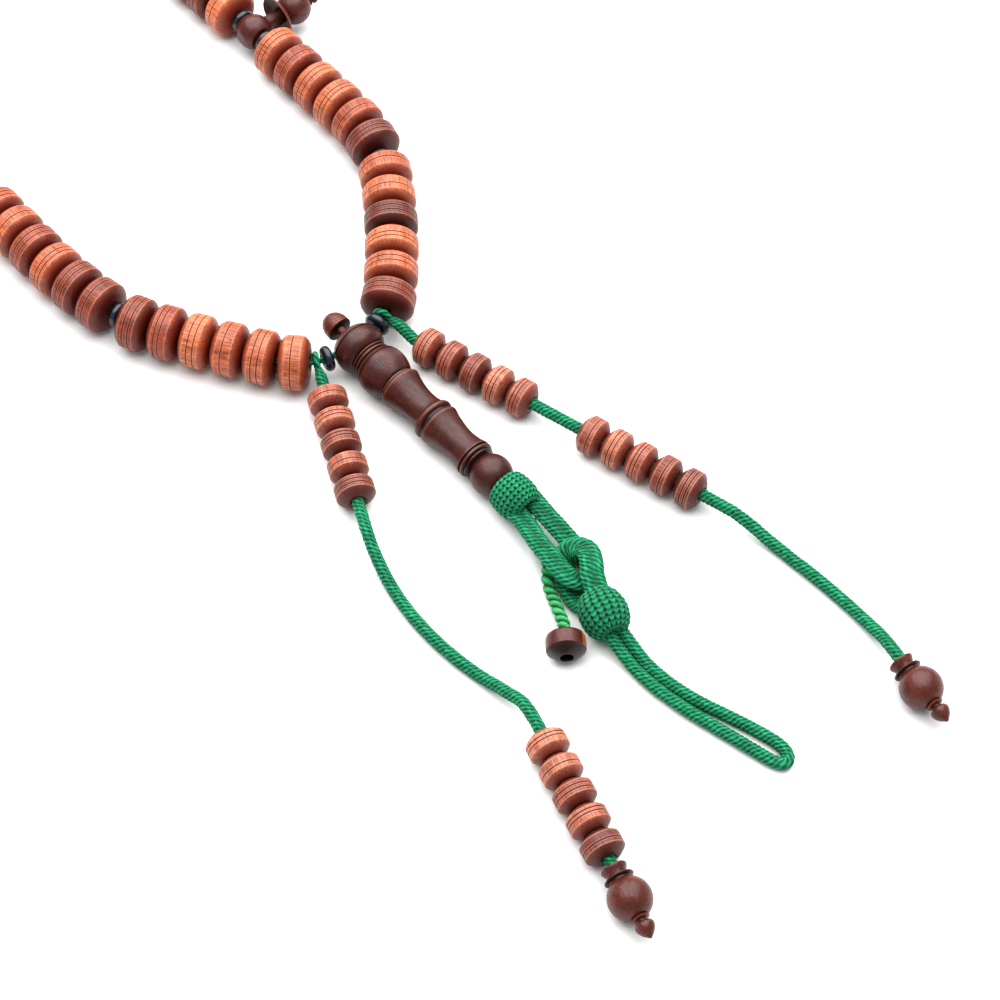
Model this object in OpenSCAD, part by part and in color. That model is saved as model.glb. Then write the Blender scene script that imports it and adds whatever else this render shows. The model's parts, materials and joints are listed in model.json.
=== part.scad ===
/* [Main beads] */
// Diameter of a main bead
bead_d = 12; // [11.6:0.1:12.2]
// Thickness of a main bead along the string
bead_l = 6.85; // [6.6:0.05:6.9]
// Diameter of a main bead's bore
bead_bore = 2.4; // [2.2:0.1:2.6]
// Depth of the scored lines round the beads
score_depth = 0.22; // [0.1:0.02:0.3]

/* [String and discs] */
// Diameter of the main string
string_d = 1.4; // [1.2:0.1:1.5]
// Diameter of a black spacer disc
disc_d = 5.8; // [5:0.1:6]
// Thickness of a black spacer disc
disc_l = 2.1; // [1.9:0.05:2.15]
// Free play left on the right half of the string
slack = 12; // [10:0.5:16]

/* [Counter strands] */
// Diameter of a counter bead
counter_d = 8.5; // [8:0.1:8.6]
// Thickness of a counter bead along its cord
counter_l = 5.7; // [5.4:0.05:5.75]
// Diameter of the green counter cords and of the hanging loop
cord_d = 2.8; // [2.6:0.1:2.9]
// Diameter of the ball on a finial
finial_ball_d = 8.9; // [8.5:0.1:9]

/* [Leader bead] */
// Diameter of the leader bead's head
leader_d = 11.5; // [11:0.1:11.6]
// Diameter of the bore along the leader bead
leader_bore = 2.2; // [2:0.1:2.4]

/* [Tassel] */
// Width of a flat loop, which is two cords side by side
band_w = 4.5; // [4.2:0.1:4.6]
// Thickness of a flat loop
band_t = 2.3; // [2:0.1:2.4]
// Diameter of the toggle bead
toggle_d = 8.2; // [7.8:0.1:8.6]
// Diameter of the twisted toggle cord
toggle_cord_d = 2.5; // [2.2:0.1:2.6]

/* [Hidden] */
$fn = 48;

// Wood colours
light_wood = "#C97B54";
dark_wood = "#5A302A";
counter_wood = "#A85F48";
ebony = "#14161C";
green = "#1F9A66";
bright_green = "#35B84E";

// Heights of the centrelines over the surface that the beads lie on
string_z = bead_d / 2;
counter_z = counter_d / 2;
cord_z = cord_d / 2 + 0.05;

// The string crosses the leader bead's head a little above its widest ring
cross_y = 2.6;
head_y = 0.3;
head_z = 5.9;
head_tilt = 1.74;

// Each half of the string leaves the head as stretches of [length, turn in degrees]
right_bends = [[4.4, 0], [4.4, 26], [8, 20], [31, 10], [12, 18], [12, 16]];
left_bends = [[4.4, 0], [4.4, 26], [8, 30], [31, 6], [12, 18], [20, 10]];

// Steps along the string from one piece to the next
bead_step = bead_l + 0.4;
disc_step = disc_l + 0.4;
marker_w = 6;
marker_step = marker_w + 0.3;
head_disc_at = 7;
eye_at = 9.45;
first_bead = 10.5;
six = 6 * bead_step;
ten = 10 * bead_step;
divide = 2 * disc_step + marker_step;
group_1 = first_bead;
group_2 = group_1 + six + disc_step;
group_3 = group_2 + six + divide;
group_4 = group_3 + six + disc_step;
group_5 = group_4 + six + disc_step;
group_6 = group_5 + six + divide;
group_7 = group_6 + ten + disc_step;
last_bead_end = group_7 + ten;
marker_1_at = group_3 - disc_step - marker_step / 2;
marker_2_at = group_6 - disc_step - marker_step / 2;
disc_places = [group_2 - disc_step / 2,
    group_3 - divide + disc_step / 2, group_3 - disc_step / 2,
    group_4 - disc_step / 2, group_5 - disc_step / 2,
    group_6 - divide + disc_step / 2, group_6 - disc_step / 2,
    group_7 - disc_step / 2];

// A pose is [x, y, heading]; a stretch with no turn is straight, and any other is an arc
function stretch(p, l, t) = abs(t) < 0.001
    ? [p.x + l * cos(p.z), p.y + l * sin(p.z), p.z]
    : let (r = l * 180 / PI / t)
      [p.x + r * (sin(p.z + t) - sin(p.z)), p.y - r * (cos(p.z + t) - cos(p.z)), p.z + t];
function walk(p, bends, side, s, i = 0) =
    i >= len(bends) ? p
    : s <= bends[i][0] ? stretch(p, s, side * bends[i][1] * s / bends[i][0])
    : walk(stretch(p, bends[i][0], side * bends[i][1]), bends, side, s - bends[i][0], i + 1);
function length_of(bends, i = 0) = i >= len(bends) ? 0 : bends[i][0] + length_of(bends, i + 1);

start_right = [0, cross_y, 0];
start_left = [0, cross_y, 180];
straight_right = walk(start_right, right_bends, 1, length_of(right_bends));
straight_left = walk(start_left, left_bends, -1, length_of(left_bends));

// The two straight sides run up to a half circle, with the middle marker at its top
far_r = (straight_right.x - straight_left.x) / 2;
far_x = (straight_right.x + straight_left.x) / 2;
quarter = PI / 2 * far_r;
middle_right = last_bead_end + slack + disc_step + marker_step / 2;
far_y = straight_right.y + middle_right - quarter - length_of(right_bends);
middle_left = length_of(left_bends) + far_y - straight_left.y + quarter;
right_route = concat(right_bends, [[far_y - straight_right.y, 0], [quarter, 90]]);
left_route = concat(left_bends, [[far_y - straight_left.y, 0], [quarter, 90]]);
function on_string(side, s) = side > 0
    ? walk(start_right, right_route, 1, s)
    : walk(start_left, left_route, -1, s);

// Finials at the ends of the counter strands, as [x, y, heading]
right_finial_at = [31.2, -129.9, -100.5];
left_finial_at = [-42.35, -125.2, -106.5];

// The middle of the footprint, from the middle marker's tip to the right finial's tip
footprint_middle = [far_x,
    (far_y + far_r + 19.3 + right_finial_at.y - 16.1 * sin(-right_finial_at.z)) / 2];

// Routes of the cords, from where each is tied to its far end
right_cord_route = [[9.95, 2.35, 5.9], [10.6, 0.2, 5.6], [10.95, -2.2, 4.9],
    [11.24, -5.01, 4.25], [17.3, -28.1, 4.25], [23.35, -51.2, 4.25], [31.26, -81.33, 4.25],
    [32.4, -86, 3.3], [33.2, -91, 2.0], [33.8, -97, 1.45], [34.3, -104, 1.45],
    [34.5, -111, 1.45], [34.3, -117.5, 1.7], [33.5, -123, 2.9], [32.2, -127.4, 4.2],
    [31.35, -130.6, 4.5]];
left_cord_route = [[-10.05, 2.35, 5.9], [-10.9, 0.2, 5.1], [-11.89, -2.0, 4.25],
    [-18.6, -15.77, 4.25], [-28.36, -35.77, 4.25], [-30.5, -41.5, 2.9],
    [-32.2, -48, 1.6], [-33.4, -55, 1.45], [-33.8, -62, 1.45], [-33.5, -69, 1.45],
    [-32.5, -76, 1.5], [-31.6, -82, 2.7], [-31.35, -88.4, 4.25], [-36.26, -104.99, 4.25],
    [-42.08, -124.64, 4.3], [-43.0, -127.6, 4.5]];
hanging_route = [[-4.9, -86, 4.4], [-5.2, -90, 3.1], [-5.5, -95, 1.6], [-5.4, -100, 1.45],
    [-4.7, -105, 1.45], [-3.7, -109.5, 1.45], [-2.2, -114, 1.45], [-0.7, -118.5, 1.45],
    [0.6, -123, 1.45], [1.3, -126.8, 1.45], [0.7, -129.4, 1.45], [-0.8, -130.1, 1.45],
    [-2.1, -128.5, 1.45], [-3.1, -125, 1.45], [-4.3, -120, 1.45], [-5.5, -115, 1.45],
    [-6.7, -110, 1.45], [-7.7, -105, 1.45], [-8.3, -100, 1.45], [-8.5, -95, 1.6],
    [-8.3, -90, 3.1], [-8.0, -86.5, 4.4]];
upper_loop_route = [[-2.35, -52, 5], [-3.3, -57.4, 5.4], [-4.5, -62, 6.0], [-5.1, -66.3, 6.2],
    [-5.5, -70, 5.9], [-4.7, -73.2, 5.0], [-2.3, -74.6, 3.6], [0.3, -72.8, 2.4],
    [1.7, -69.2, 2.0], [1.8, -65.7, 2.9], [1.7, -61.5, 4.2], [1.8, -57, 4.8], [2.35, -52, 5]];
link_loop_route = [[-4.2, -80, 6.0], [-2.2, -75.8, 7.2], [-0.5, -73.6, 7.5], [0.8, -71.4, 7.3],
    [0.9, -69.2, 6.7], [-0.2, -67.6, 5.9], [-1.7, -67.3, 4.4], [-3.2, -68.4, 2.6],
    [-4.4, -70.6, 1.5], [-5.6, -73.6, 1.35], [-6.1, -76.4, 1.7], [-5.9, -79.8, 3.9]];
toggle_route = [[-0.5, -55.2, 2.3], [-1.5, -58.5, 1.5], [-2.9, -62, 1.4], [-4.6, -65, 1.4],
    [-6.9, -67.5, 1.45], [-8.7, -70.3, 1.6], [-10, -73.3, 2], [-11.5, -76.3, 2.8],
    [-13.1, -79.4, 3.8], [-15.4, -82.3, 4.15]];

// Straight stretches that carry the counter beads: [start, heading]
right_line = [[12.1, -8.3], -75.3];
right_line_2 = 42.1;
left_line = [[-13.3, -4.9], -116];
left_line_2 = [[-34.1, -97.7], -106.5];
counter_step = counter_l + 0.3;
finial_z = finial_ball_d / 2 + 0.05;

upper_ball_at = [-0.2, -49.9, 5.0];
lower_ball_at = [-5.8, -83.1, 5.3];
lower_ball_heading = -109;
toggle_at = [-16.2, -83.3, toggle_d / 2 + 0.02];
toggle_heading = -128;

// A bead's outline, as [radius, distance along the bore], made of both halves of one list
function mirrored(half) = concat(half, [for (i = [len(half) - 1:-1:0]) [half[i].x, -half[i].y]]);
function scored(r, at, depth) = [[r, at + depth], [r - depth, at], [r, at - depth]];
function arc_points(r, from, to, steps, middle = 0) =
    [for (i = [0:steps]) let (a = from + (to - from) * i / steps) [r * cos(a), middle + r * sin(a)]];

module centred() {
    translate([-footprint_middle.x, -footprint_middle.y, 0]) children();
}
// Stands children, turned about Z, along a heading in the plane of the surface
module along(x, y, z, heading) {
    translate([x, y, z]) rotate([0, 0, heading]) rotate([0, 90, 0]) children();
}
module on_string_at(side, s) {
    p = on_string(side, s);
    along(p.x, p.y, string_z, p.z) children();
}

module main_bead_shape() {
    r = bead_d / 2;
    h = bead_l / 2;
    rotate_extrude() polygon(mirrored(concat(
        [[bead_bore / 2, h - 0.25], [bead_bore / 2 + 0.4, h], [4.7, h - 0.38],
         [5.45, h - 0.75], [5.87, h - 1.25], [r, h - 1.7]],
        scored(r, 0.85, score_depth))));
}
module main_beads(side, from, count) {
    color(light_wood) centred()
        for (i = [0:count - 1]) on_string_at(side, from + (i + 0.5) * bead_step) main_bead_shape();
}
module disc_shape() {
    r = disc_d / 2;
    h = disc_l / 2;
    rotate_extrude() polygon(mirrored([[0.95, h], [r - 0.9, h], [r - 0.35, h - 0.3],
        [r - 0.08, h - 0.7], [r, h - 1]]));
}
module head_disc(side) {
    color(ebony) centred() on_string_at(side, head_disc_at) disc_shape();
}
module spacer_discs() {
    color(ebony) centred() {
        for (side = [1, -1], s = disc_places) on_string_at(side, s) disc_shape();
        on_string_at(1, middle_right - marker_step / 2 - disc_step / 2) disc_shape();
        on_string_at(-1, middle_left - marker_step / 2 - disc_step / 2) disc_shape();
    }
}

// The string is one closed cord of rings: up the right half from the leader bead, and back
// down the left half
function ring_places(route, i = 0, done = 0) = i >= len(route) ? []
    : let (steps = max(1, ceil(route[i][1] / 7)))
      concat([for (k = [0:steps - 1]) done + route[i][0] * k / steps],
        ring_places(route, i + 1, done + route[i][0]));
function string_point(side, s) = let (p = on_string(side, s)) [p.x, p.y, string_z];
module main_string() {
    left_places = concat(ring_places(left_route), [middle_left]);
    route = concat([for (s = ring_places(right_route)) string_point(1, s)],
        [for (i = [len(left_places) - 1:-1:1]) string_point(-1, left_places[i])]);
    color(green) centred() closed_tube(route, round_shape(string_d / 2));
}

// Everything turned on the leader bead's axis: distance runs from the head to the tassel
module leader_axis() {
    translate([0, head_y, head_z]) rotate([90 + head_tilt, 0, 0]) children();
}
module leader_bead() {
    r = leader_d / 2;
    outline = [[leader_bore / 2, -4.4], [2.6, -4.4], [3.6, -4.05], [4.9, -2.9], [5.35, -2.15],
        [5.2, -1.95], [5.5, -1.75], [r - 0.07, -0.9], [r, 0], [r - 0.15, 0.9], [5.0, 2.0],
        [4.3, 2.55], [4.0, 2.7], [4.4, 2.95], [4.4, 3.3], [4.05, 3.5], [4.5, 3.8], [4.5, 4.25],
        [4.2, 4.45], [4.75, 4.9], [5.25, 5.7], [5.15, 5.95], [5.4, 6.15], [5.65, 7.4],
        [5.62, 8.4], [5.35, 9.9], [4.75, 11.4], [4.4, 12.0], [4.15, 12.2], [4.5, 12.4],
        [4.5, 12.9], [4.3, 13.1], [5.0, 13.4], [4.85, 14.2], [4.3, 16.0], [3.9, 18.0],
        [3.75, 20.0], [3.95, 22.0], [4.3, 23.3], [4.7, 23.6], [4.85, 24.1], [4.7, 24.6],
        [4.25, 24.9], [4.25, 25.4], [4.75, 25.7], [4.85, 26.2], [4.6, 26.8], [4.2, 28.5],
        [3.8, 30.8], [3.65, 32.6], [3.75, 34.4], [4.2, 36.4], [4.35, 36.9], [3.85, 37.2],
        [4.3, 37.5], [4.3, 38.0], [3.7, 38.3], [3.9, 38.6]];
    ball = arc_points(4.6, -50, 76, 14, 42.8);
    color(dark_wood) centred() difference() {
        leader_axis() rotate_extrude() polygon(concat(outline,
            [for (p = ball) if (p.y > 39.2) p], [[leader_bore / 2, 47.27]]));
        translate([0, cross_y, string_z]) rotate([0, 90, 0])
            cylinder(d = string_d + 0.7, h = 20, center = true);
    }
}
module leader_knob() {
    color(dark_wood) centred() leader_axis() rotate_extrude()
        polygon(concat([[0, -3.6], [leader_bore / 2, -3.6], [leader_bore / 2, -4.4], [1.3, -4.5],
            [1.25, -6.6], [2.6, -6.75], [2.95, -7.1]],
            [for (a = [0:15:75]) [2.95 * cos(a), -7.9 - 3.4 * sin(a)]], [[0, -11.3]]));
}
module leader_core_cord() {
    color(green) centred() leader_axis()
        translate([0, 0, -0.9]) cylinder(d = leader_bore - 0.4, h = 48.1);
}

// A marker is turned on one axis, outward from the string, and cross-drilled for the string
module marker_shape() {
    barrel = concat([[0, -3.9], [1.6, -3.9]], arc_points(4.2, -66, 60, 12),
        [[1.9, 3.9], [1.9, 5], [0, 5]]);
    finial = concat([[0, 4.6], [1.85, 4.6], [1.8, 5.6], [1.9, 7.9], [3.2, 7.75], [4.4, 7.3],
         [5.1, 6.8], [5.2, 7.0], [4.6, 7.75], [3.4, 8.35], [2.35, 8.6]],
        arc_points(4.1, -56, 66, 14, 12),
        [[1.5, 15.8], [1.8, 15.95], [1.8, 16.2], [1.1, 16.45], [1.05, 16.75], [1.75, 17.1],
         [1.85, 17.6], [1.4, 18.3], [0.6, 19.1], [0, 19.3]]);
    difference() {
        union() {
            intersection() {
                rotate_extrude() polygon(barrel);
                translate([-10, -marker_w / 2, -10]) cube([20, marker_w, 20]);
            }
            rotate_extrude() polygon(finial);
        }
        rotate([90, 0, 0]) cylinder(d = bead_bore, h = 20, center = true);
    }
}
// A marker lies flat, pointing out of the loop
module marker(side, s) {
    p = on_string(side, s);
    color(dark_wood) centred() along(p.x, p.y, string_z, p.z - side * 90) marker_shape();
}

// A counter bead, flat-ended with two scored lines
module counter_bead(side, n) {
    line = side > 0 ? right_line : left_line;
    second = side > 0 ? [right_line.x + right_line_2 * [cos(right_line.y), sin(right_line.y)],
        right_line.y] : left_line_2;
    start = n <= 5 ? line : second;
    step = ((n - 1) % 5) * counter_step;
    h = counter_l / 2;
    r = counter_d / 2;
    color(counter_wood) centred()
        along(start.x.x + step * cos(start.y), start.x.y + step * sin(start.y), counter_z, start.y)
            rotate_extrude() polygon(mirrored(concat(
                [[cord_d / 2 + 0.1, h - 0.2], [cord_d / 2 + 0.4, h], [2.4, h - 0.1],
                 [3.3, h - 0.65], [4.0, h - 1.2], [r, h - 1.5]],
                scored(r, 0.5, score_depth))));
}
module counter_finial(at) {
    ball = finial_ball_d / 2;
    color(dark_wood) centred() along(at.x, at.y, finial_z, at.z) rotate_extrude() polygon(concat(
        [[0, 1.9], [1.5, 1.6], [2.35, 0.3], [2.68, 0.3], [2.6, 0.8], [2.1, 1.6], [1.95, 2.2],
         [2.5, 2.45], [3.05, 2.5], [3.05, 2.8], [2.4, 3.1]],
        arc_points(ball, -60, 66, 14, 7.2),
        [[1.5, 11.3], [1.8, 11.5], [1.8, 11.9], [1.1, 12.15], [1.1, 12.5], [1.85, 12.9],
         [2.0, 13.5], [1.6, 14.5], [0.6, 15.7], [0, 16.1]]));
}

// A cord or a flat loop is one mesh of rings that stand square to the route. ring() gives the
// points of one ring as [sideways, upward] steps.
function unit(v) = v / norm(v);
function heading_at(route, i) =
    unit(route[min(i + 1, len(route) - 1)] - route[max(i - 1, 0)]);
function ring(p, t, shape) =
    let (side = unit(cross(t, [0, 0, 1])), up = cross(side, t))
    [for (q = shape) p + q.x * side + q.y * up];
function round_shape(r) = [for (a = [22.5:45:359]) r * [cos(a), sin(a)]];
module tube(route, shape, thin_start = 1) {
    n = len(shape);
    rings = len(route);
    points = [for (i = [0:rings - 1])
        each ring(route[i], heading_at(route, i), i == 0 ? thin_start * shape : shape)];
    sides = [for (i = [0:rings - 2], k = [0:n - 1])
        [i * n + k, i * n + (k + 1) % n, (i + 1) * n + (k + 1) % n, (i + 1) * n + k]];
    polyhedron(points, concat([[for (k = [n - 1:-1:0]) k]], sides,
        [[for (k = [0:n - 1]) (rings - 1) * n + k]]), convexity = 8);
}
module closed_tube(route, shape) {
    n = len(shape);
    rings = len(route);
    points = [for (i = [0:rings - 1])
        each ring(route[i], unit(route[(i + 1) % rings] - route[(i + rings - 1) % rings]), shape)];
    polyhedron(points, [for (i = [0:rings - 1], k = [0:n - 1])
        let (a = i * n, b = ((i + 1) % rings) * n) [a + k, a + (k + 1) % n, b + (k + 1) % n, b + k]],
        convexity = 8);
}
band_shape = [for (q = [[1, 0.45], [0.75, 1], [-0.75, 1], [-1, 0.45],
    [-1, -0.45], [-0.75, -1], [0.75, -1], [1, -0.45]]) [q.x * band_w / 2, q.y * band_t / 2]];

// The eye at the start of a counter cord is a ring round the main string
module counter_cord(side, route) {
    color(green) centred() {
        on_string_at(side, eye_at) rotate_extrude() translate([1.6, 0]) circle(d = 1.4, $fn = 20);
        tube(route, round_shape(cord_d / 2), 0.55);
    }
}
module crochet_ball(r, half, steps = 12) {
    rotate_extrude() polygon(concat([[0, -half]],
        [for (i = [1:steps - 1]) let (a = -90 + 180 * i / steps)
            [r * pow(cos(a), 0.8), half * sin(a)]], [[0, half]]));
}
module upper_crochet_ball() {
    color(green) centred() difference() {
        along(upper_ball_at.x, upper_ball_at.y, upper_ball_at.z, -90) crochet_ball(4.85, 4.5);
        translate([0, head_y, head_z]) rotate([90 + head_tilt, 0, 0])
            translate([0, 0, 42.8]) sphere(r = 4.7);
    }
}
module lower_crochet_ball() {
    color(green) centred() along(lower_ball_at.x, lower_ball_at.y, lower_ball_at.z,
        lower_ball_heading) crochet_ball(5.15, 5.5);
}
module toggle_bead() {
    r = toggle_d / 2;
    color(counter_wood) centred() along(toggle_at.x, toggle_at.y, toggle_at.z, toggle_heading)
        rotate_extrude() polygon([[1.35, -2.9], [2.4, -2.85], [3.3, -2.5], [r - 0.2, -1.7],
            [r, -0.6], [r - 0.02, 0.8], [r - 0.5, 1.9], [3.0, 2.6], [1.8, 2.95], [1.35, 2.9]]);
}

main_string();
leader_bead();
leader_knob();
leader_core_cord();
head_disc(1);  // head_disc_right
head_disc(-1);  // head_disc_left
spacer_discs();
main_beads(1, group_1, 6);  // right_beads_1
main_beads(1, group_2, 6);  // right_beads_2
main_beads(1, group_3, 6);  // right_beads_3
main_beads(1, group_4, 6);  // right_beads_4
main_beads(1, group_5, 6);  // right_beads_5
main_beads(1, group_6, 10);  // right_beads_6
main_beads(1, group_7, 4);  // right_beads_7
main_beads(1, group_7 + 4 * bead_step, 5);  // right_beads_8
main_beads(1, group_7 + 9 * bead_step, 1);  // right_bead_last
main_beads(-1, group_1, 6);  // left_beads_1
main_beads(-1, group_2, 6);  // left_beads_2
main_beads(-1, group_3, 6);  // left_beads_3
main_beads(-1, group_4, 6);  // left_beads_4
main_beads(-1, group_5, 6);  // left_beads_5
union() {  // left_beads_6
    main_beads(-1, group_6, 10);
    main_beads(-1, group_7, 4);
}
main_beads(-1, group_7 + 4 * bead_step, 5);  // left_beads_7
main_beads(-1, group_7 + 9 * bead_step, 1);  // left_bead_last
marker(1, marker_1_at);  // right_marker_1
marker(1, marker_2_at);  // right_marker_2
marker(-1, marker_1_at);  // left_marker_1
marker(-1, marker_2_at);  // left_marker_2
marker(1, middle_right);  // middle_marker
counter_cord(1, right_cord_route);  // right_counter_cord
counter_cord(-1, left_cord_route);  // left_counter_cord
counter_bead(1, 1);  // right_counter_bead_1
counter_bead(1, 2);  // right_counter_bead_2
counter_bead(1, 3);  // right_counter_bead_3
counter_bead(1, 4);  // right_counter_bead_4
counter_bead(1, 5);  // right_counter_bead_5
counter_bead(1, 6);  // right_counter_bead_6
counter_bead(1, 7);  // right_counter_bead_7
counter_bead(1, 8);  // right_counter_bead_8
counter_bead(1, 9);  // right_counter_bead_9
counter_bead(1, 10);  // right_counter_bead_10
counter_bead(-1, 1);  // left_counter_bead_1
counter_bead(-1, 2);  // left_counter_bead_2
counter_bead(-1, 3);  // left_counter_bead_3
counter_bead(-1, 4);  // left_counter_bead_4
counter_bead(-1, 5);  // left_counter_bead_5
counter_bead(-1, 6);  // left_counter_bead_6
counter_bead(-1, 7);  // left_counter_bead_7
counter_bead(-1, 8);  // left_counter_bead_8
counter_bead(-1, 9);  // left_counter_bead_9
counter_bead(-1, 10);  // left_counter_bead_10
counter_finial(right_finial_at);  // right_finial
counter_finial(left_finial_at);  // left_finial
upper_crochet_ball();
lower_crochet_ball();
color(green) centred() tube(upper_loop_route, band_shape);  // upper_loop
color(green) centred() tube(link_loop_route, band_shape);  // link_loop
color(green) centred() tube(hanging_route, round_shape(cord_d / 2));  // hanging_loop
color(bright_green) centred() tube(toggle_route, round_shape(toggle_cord_d / 2));  // toggle_cord
toggle_bead();
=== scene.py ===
import json
import math

import bpy
from mathutils import Matrix, Vector


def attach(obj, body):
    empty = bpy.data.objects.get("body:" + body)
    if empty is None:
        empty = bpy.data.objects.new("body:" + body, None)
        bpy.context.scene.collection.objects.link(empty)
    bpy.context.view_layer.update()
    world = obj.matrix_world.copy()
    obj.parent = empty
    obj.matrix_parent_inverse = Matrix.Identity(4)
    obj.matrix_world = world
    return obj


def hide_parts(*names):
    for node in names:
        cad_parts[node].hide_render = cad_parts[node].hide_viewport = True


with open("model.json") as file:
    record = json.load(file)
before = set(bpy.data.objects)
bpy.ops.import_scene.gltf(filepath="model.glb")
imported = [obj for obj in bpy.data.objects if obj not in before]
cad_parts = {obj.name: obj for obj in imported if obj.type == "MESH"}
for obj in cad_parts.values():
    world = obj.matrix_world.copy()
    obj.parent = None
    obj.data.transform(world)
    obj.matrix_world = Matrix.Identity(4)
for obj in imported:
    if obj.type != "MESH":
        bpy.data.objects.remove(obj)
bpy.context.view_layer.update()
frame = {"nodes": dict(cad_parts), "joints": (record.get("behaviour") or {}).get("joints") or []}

# ---------------------------------------------------------------------------
# Camera. It looks down at the leader bead from beside the hanging loop, as
# someone does who has laid the beads on a table. Lengths below are millimetres
# from the middle of the leader bead's head, and spot() turns them to the frame.
# ---------------------------------------------------------------------------
MM = 0.001
CROSSING_Y = 2.6
joints = {joint["name"]: joint for joint in frame["joints"]}
crossing = Vector(joints["leader_swing"]["pos_m"])


def spot(x, y, z):
    """A place in the frame, from millimetres beside the leader bead's head."""
    return Vector((crossing.x + x * MM, crossing.y + (y - CROSSING_Y) * MM, z * MM))


camera_data = bpy.data.cameras.new("camera")
camera_data.sensor_width = 36
camera_data.lens = 93.35
camera_data.clip_start = 0.02
camera_data.clip_end = 20
camera = bpy.data.objects.new("camera", camera_data)
bpy.context.scene.collection.objects.link(camera)
camera.location = spot(-202.0, -273.4, 450.2)
camera.rotation_euler = (spot(-0.8, -46.0, 0) - camera.location).to_track_quat("-Z", "Y").to_euler()
bpy.context.scene.camera = camera

# ---------------------------------------------------------------------------
# Counter cords. Each is a round cord crocheted in polyester thread, 2.8 mm
# thick, worked to a small eye round the main string. Its stitches lean round
# it in five rows, so its surface is short slanted ribs with dark gaps.
# ---------------------------------------------------------------------------
CORD_RADIUS = 1.4
RIB_PITCH = 1.0
RIBS_ROUND = 5
STITCHES_ROUND = 7

right_cord_route = [
    (9.95, 2.35, 5.9), (10.6, 0.2, 5.6), (10.95, -2.2, 4.9), (11.24, -5.01, 4.25),
    (17.3, -28.1, 4.25), (23.35, -51.2, 4.25), (31.26, -81.33, 4.25), (32.4, -86, 3.3),
    (33.2, -91, 2.0), (33.8, -97, 1.45), (34.3, -104, 1.45), (34.5, -111, 1.45),
    (34.3, -117.5, 1.7), (33.5, -123, 2.9), (32.2, -127.4, 4.2), (31.35, -130.6, 4.5),
]
left_cord_route = [
    (-10.05, 2.35, 5.9), (-10.9, 0.2, 5.1), (-11.89, -2.0, 4.25), (-18.6, -15.77, 4.25),
    (-28.36, -35.77, 4.25), (-30.5, -41.5, 2.9), (-32.2, -48, 1.6), (-33.4, -55, 1.45),
    (-33.8, -62, 1.45), (-33.5, -69, 1.45), (-32.5, -76, 1.5), (-31.6, -82, 2.7),
    (-31.35, -88.4, 4.25), (-36.26, -104.99, 4.25), (-42.08, -124.64, 4.3), (-43.0, -127.6, 4.5),
]


def smooth_path(route, step):
    """Places a fixed step apart on the smooth curve through a route's points."""
    points = [spot(*place) for place in route]
    points = [2 * points[0] - points[1]] + points + [2 * points[-1] - points[-2]]
    curve = []
    for a, b, c, d in zip(points, points[1:], points[2:], points[3:]):
        # A straight stretch stays straight: the pull at each end fits its own length
        length = (c - b).length
        pull_b = (c - a).normalized() * length
        pull_c = (d - b).normalized() * length
        for i in range(20):
            t = i / 20
            curve.append(
                b * (2 * t**3 - 3 * t**2 + 1) + pull_b * (t**3 - 2 * t**2 + t)
                + c * (3 * t**2 - 2 * t**3) + pull_c * (t**3 - t**2)
            )
    curve.append(points[-2])
    path, gone, wanted = [curve[0]], 0.0, step * MM
    for a, b in zip(curve, curve[1:]):
        part = (b - a).length
        while gone + part >= wanted:
            path.append(a.lerp(b, (wanted - gone) / part))
            wanted += step * MM
        gone += part
    return path


def uneven(*counts):
    """A number from 0 to 1 that differs from stitch to stitch, as hand work does."""
    mixed = math.sin(sum(count * weight for count, weight in zip(counts, (12.9898, 78.233, 1.0))))
    return (mixed * 43758.5453) % 1.0


def stitch(across, along):
    """How far a crocheted cord stands out, from 0 in the holes to 1 on the backs of its ribs."""
    along += 0.12 * math.sin(2.4 * math.floor(across))
    gap = abs(math.cos(math.pi * across)) ** 2.2
    hole = abs(math.cos(math.pi * along)) ** 1.8
    plump = 0.76 + 0.24 * uneven(math.floor(across), math.floor(along))
    deep = 0.55 + 0.45 * uneven(math.floor(across + 0.5), math.floor(along + 0.5), 37.7)
    return plump * (1 - gap * (0.34 + 0.6 * hole * deep) - 0.12 * hole * (1 - gap))


def mesh_piece(name, points, faces, relief):
    """A new piece from points and faces, with the stitches' relief kept for the painted shade and
    highlight in its colour.
    """
    mesh = bpy.data.meshes.new(name)
    mesh.from_pydata(points, [], faces)
    mesh.attributes.new("relief", "FLOAT", "POINT").data.foreach_set("value", relief)
    mesh.shade_smooth()
    piece = bpy.data.objects.new(name, mesh)
    bpy.context.scene.collection.objects.link(piece)
    return piece


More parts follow.
